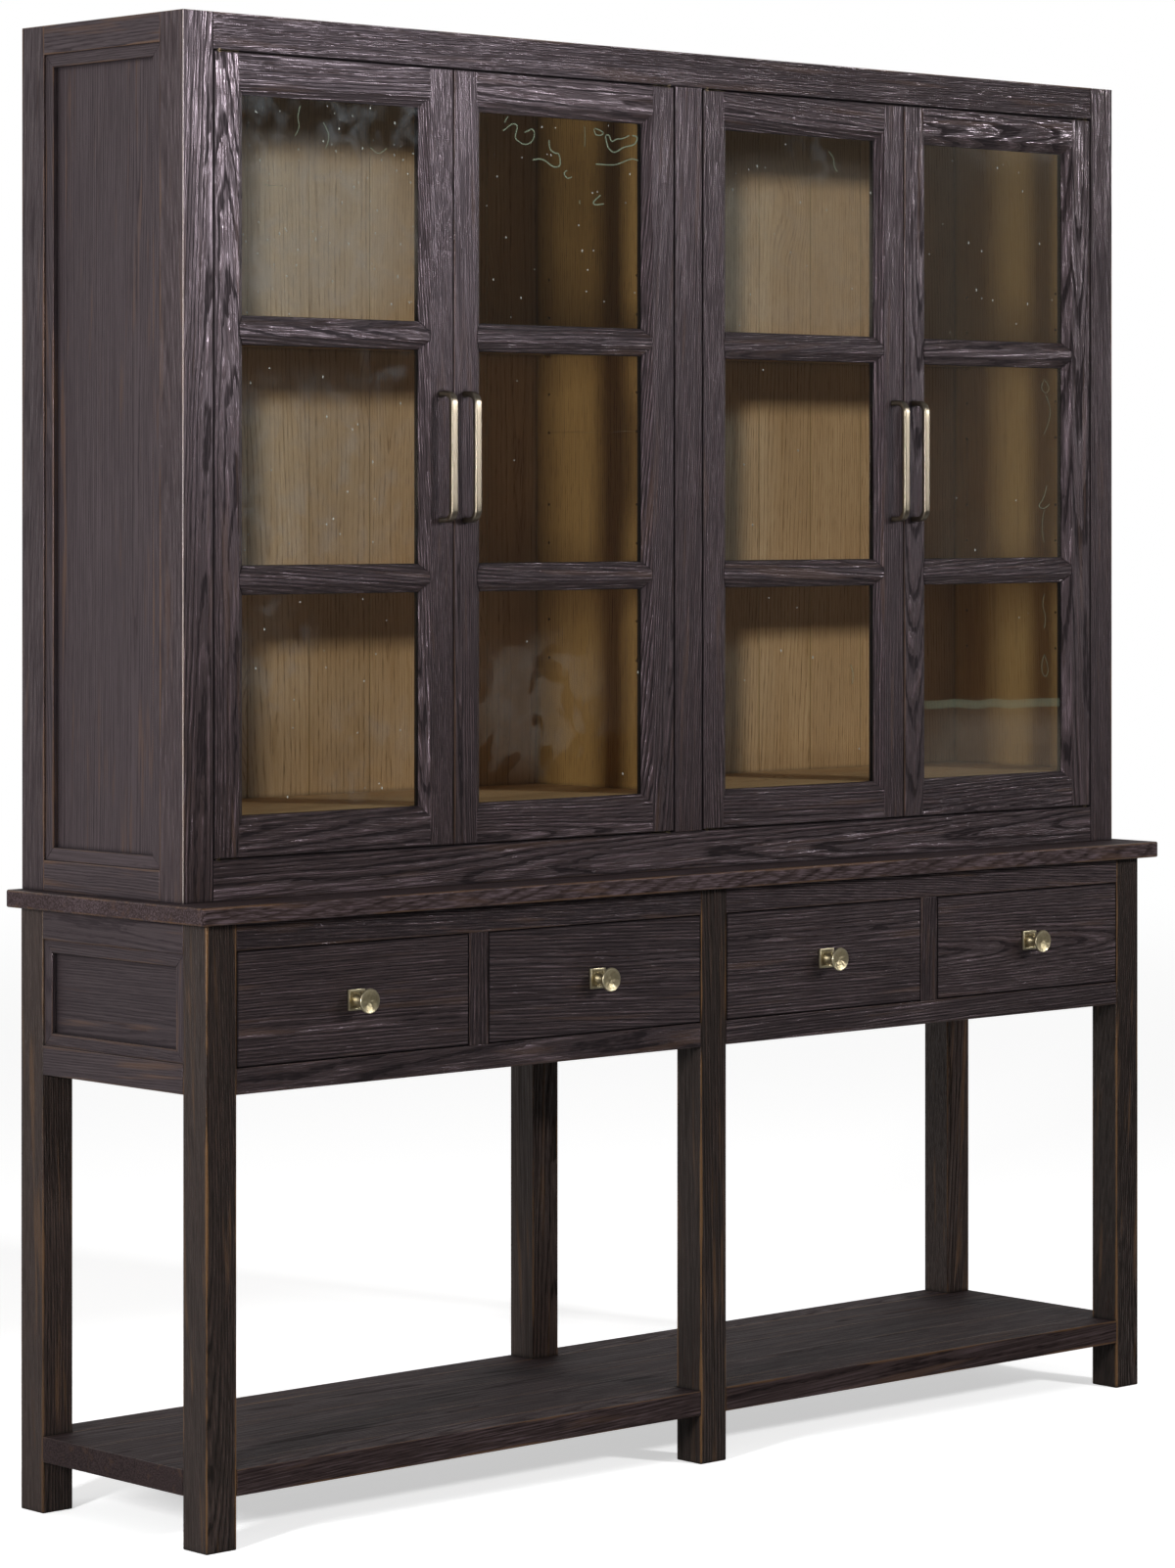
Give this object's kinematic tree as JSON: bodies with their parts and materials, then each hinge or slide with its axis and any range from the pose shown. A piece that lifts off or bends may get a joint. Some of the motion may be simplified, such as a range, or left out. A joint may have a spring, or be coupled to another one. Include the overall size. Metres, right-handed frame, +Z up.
{
  "type": "dresser with hutch",
  "caption": "Tall dresser with a glazed hutch: glass doors over inset drawers, and an open low shelf between square legs.",
  "frame": {"origin": "on the floor, below the middle of the whole piece, knobs included", "axes": "+Z up, +X to the right of someone in front, front faces -Y"},
  "size_m": [2.134, 0.502, 2.286],
  "materials": {
    "dark_oak": "wire-brushed oak, stained near black, edges rubbed back to brown",
    "natural_oak": "oiled oak boards inside the cabinet",
    "seeded_glass": "antique glass with seeds, threads and cloudy patches",
    "aged_brass": "aged brass, dark in the hollows and rubbed bright on the edges",
    "pin_brass": "plain turned brass",
    "catch_steel": "plain magnet"
  },
  "bodies": {
    "case": {"front_legs": "dark_oak", "back_legs": "dark_oak", "countertop": "dark_oak", "base_front_rails": "dark_oak", "drawer_dividers": "dark_oak", "base_side_rails": "dark_oak", "base_side_mouldings": "dark_oak", "base_side_panels": "dark_oak", "base_back_frame": "dark_oak", "base_partitions": "natural_oak", "drawer_runners": "natural_oak", "drawer_kickers": "natural_oak", "drawer_guides_and_stops": "natural_oak", "lower_shelf_rails": "dark_oak", "lower_shelf_boards": "dark_oak", "hutch_front_posts": "dark_oak", "hutch_back_posts": "dark_oak", "hutch_front_frame": "dark_oak", "hutch_side_rails": "dark_oak", "hutch_side_mouldings": "dark_oak", "hutch_side_panels": "dark_oak", "hutch_side_liners": "natural_oak", "hutch_partition": "natural_oak", "hutch_shelves": "natural_oak", "shelf_pins": "pin_brass", "hutch_top_panel": "dark_oak", "hutch_back_boards": "natural_oak", "hutch_back_rails": "dark_oak", "hutch_floor": "natural_oak", "hinge_case_leaves": "aged_brass", "door_catches": "catch_steel"},
    "door_1": {"door_1_frame": "dark_oak", "door_1_glass": "seeded_glass", "door_1_pull": "aged_brass", "door_1_hinge_leaves": "aged_brass"},
    "door_2": {"door_2_frame": "dark_oak", "door_2_glass": "seeded_glass", "door_2_pull": "aged_brass", "door_2_hinge_leaves": "aged_brass"},
    "door_3": {"door_3_frame": "dark_oak", "door_3_glass": "seeded_glass", "door_3_pull": "aged_brass", "door_3_hinge_leaves": "aged_brass"},
    "door_4": {"door_4_frame": "dark_oak", "door_4_glass": "seeded_glass", "door_4_pull": "aged_brass", "door_4_hinge_leaves": "aged_brass"},
    "drawer_1": {"drawer_1_front": "dark_oak", "drawer_1_box": "natural_oak", "drawer_1_knob": "aged_brass"},
    "drawer_2": {"drawer_2_front": "dark_oak", "drawer_2_box": "natural_oak", "drawer_2_knob": "aged_brass"},
    "drawer_3": {"drawer_3_front": "dark_oak", "drawer_3_box": "natural_oak", "drawer_3_knob": "aged_brass"},
    "drawer_4": {"drawer_4_front": "dark_oak", "drawer_4_box": "natural_oak", "drawer_4_knob": "aged_brass"}
  },
  "joints": [
    {"name": "door_1_hinge", "type": "hinge", "parent": "case", "child": "door_1", "pos_m": [-0.969, -0.152, 1.6245], "axis": [0, 0, -1], "range_deg": [0, 110]},
    {"name": "door_2_hinge", "type": "hinge", "parent": "case", "child": "door_2", "pos_m": [-0.043, -0.152, 1.6245], "axis": [0, 0, 1], "range_deg": [0, 90]},
    {"name": "door_3_hinge", "type": "hinge", "parent": "case", "child": "door_3", "pos_m": [0.043, -0.152, 1.6245], "axis": [0, 0, -1], "range_deg": [0, 90]},
    {"name": "door_4_hinge", "type": "hinge", "parent": "case", "child": "door_4", "pos_m": [0.969, -0.152, 1.6245], "axis": [0, 0, 1], "range_deg": [0, 110]},
    {"name": "drawer_1_slide", "type": "slide", "parent": "case", "child": "drawer_1", "axis": [0, -1, 0], "range_m": [0, 0.3]},
    {"name": "drawer_2_slide", "type": "slide", "parent": "case", "child": "drawer_2", "axis": [0, -1, 0], "range_m": [0, 0.3]},
    {"name": "drawer_3_slide", "type": "slide", "parent": "case", "child": "drawer_3", "axis": [0, -1, 0], "range_m": [0, 0.3]},
    {"name": "drawer_4_slide", "type": "slide", "parent": "case", "child": "drawer_4", "axis": [0, -1, 0], "range_m": [0, 0.3]}
  ]
}
